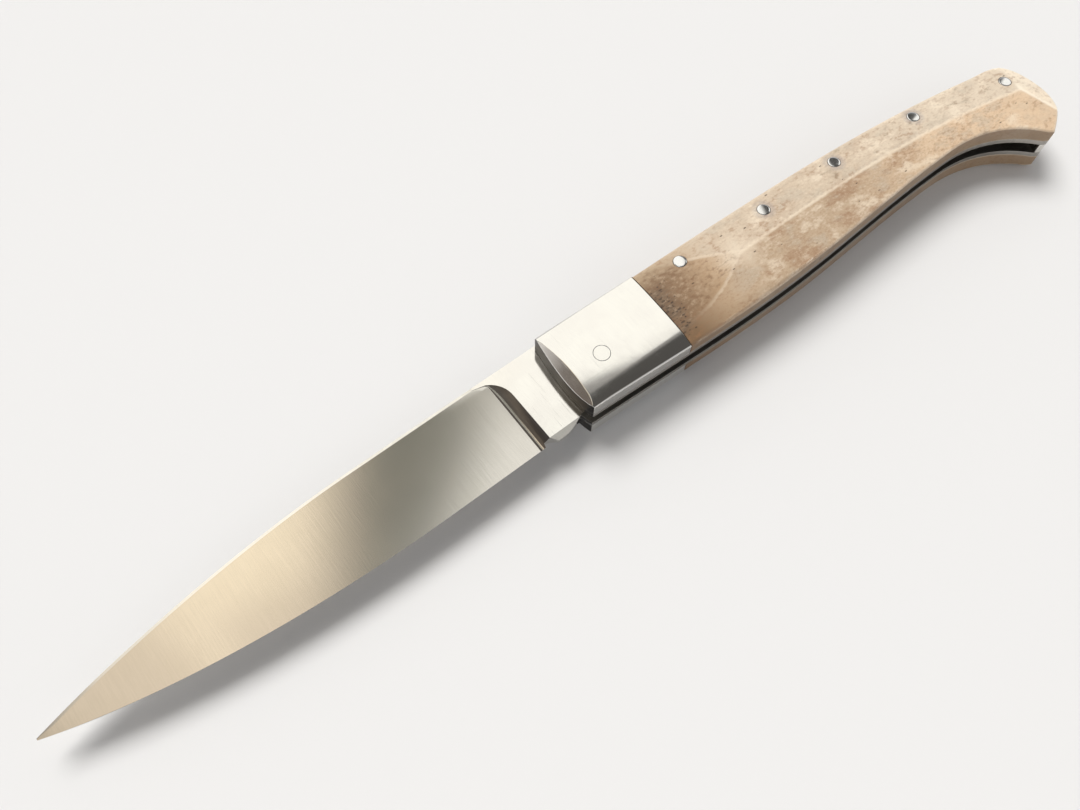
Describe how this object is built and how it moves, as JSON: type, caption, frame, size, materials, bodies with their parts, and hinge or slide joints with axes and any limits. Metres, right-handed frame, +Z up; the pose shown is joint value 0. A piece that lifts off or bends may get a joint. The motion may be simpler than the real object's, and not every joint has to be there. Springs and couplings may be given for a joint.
{
  "type": "folding pocket knife",
  "caption": "Folding pocket knife with a ground steel blade on a slip joint, a full-length backspring, polished bolsters and faceted bone scales that hook down at the tail.",
  "frame": {"origin": "middle of the bounding box in X and Y, on the plane the knife lies on", "axes": "+X runs from the blade's tip to the tail, +Y from the cutting edge and belly to the spine, +Z up through the thickness with the open knife lying on its side"},
  "size_m": [0.2162, 0.0264, 0.0118],
  "materials": {
    "satin_steel": "satin, fine cross grain",
    "polished_steel": "mirror polished",
    "liner_steel": "plain ground",
    "bone": "polished bone, cream to tan with small dark pores"
  },
  "bodies": {
    "handle": {"backspring": "polished_steel", "liner_upper": "liner_steel", "liner_lower": "liner_steel", "bolster_upper": "polished_steel", "bolster_lower": "polished_steel", "scale_upper": "bone", "scale_lower": "bone", "pivot_pin": "polished_steel", "spring_pin_middle": "polished_steel", "spring_pin_rear": "polished_steel", "spring_pin_tail": "polished_steel", "scale_rivet_upper_1": "polished_steel", "scale_rivet_lower_1": "polished_steel", "scale_rivet_upper_2": "polished_steel", "scale_rivet_lower_2": "polished_steel", "bolster_rivet_upper_1": "polished_steel", "bolster_rivet_lower_1": "polished_steel", "bolster_rivet_upper_2": "polished_steel", "bolster_rivet_lower_2": "polished_steel"},
    "blade": {"blade": "satin_steel"}
  },
  "joints": [
    {"name": "blade_pivot", "type": "hinge", "parent": "handle", "child": "blade", "pos_m": [-0.00415, 0.00298, 0.0059], "axis": [0, 0, 1], "range_deg": [0, 177], "deforming": ["backspring"]}
  ]
}
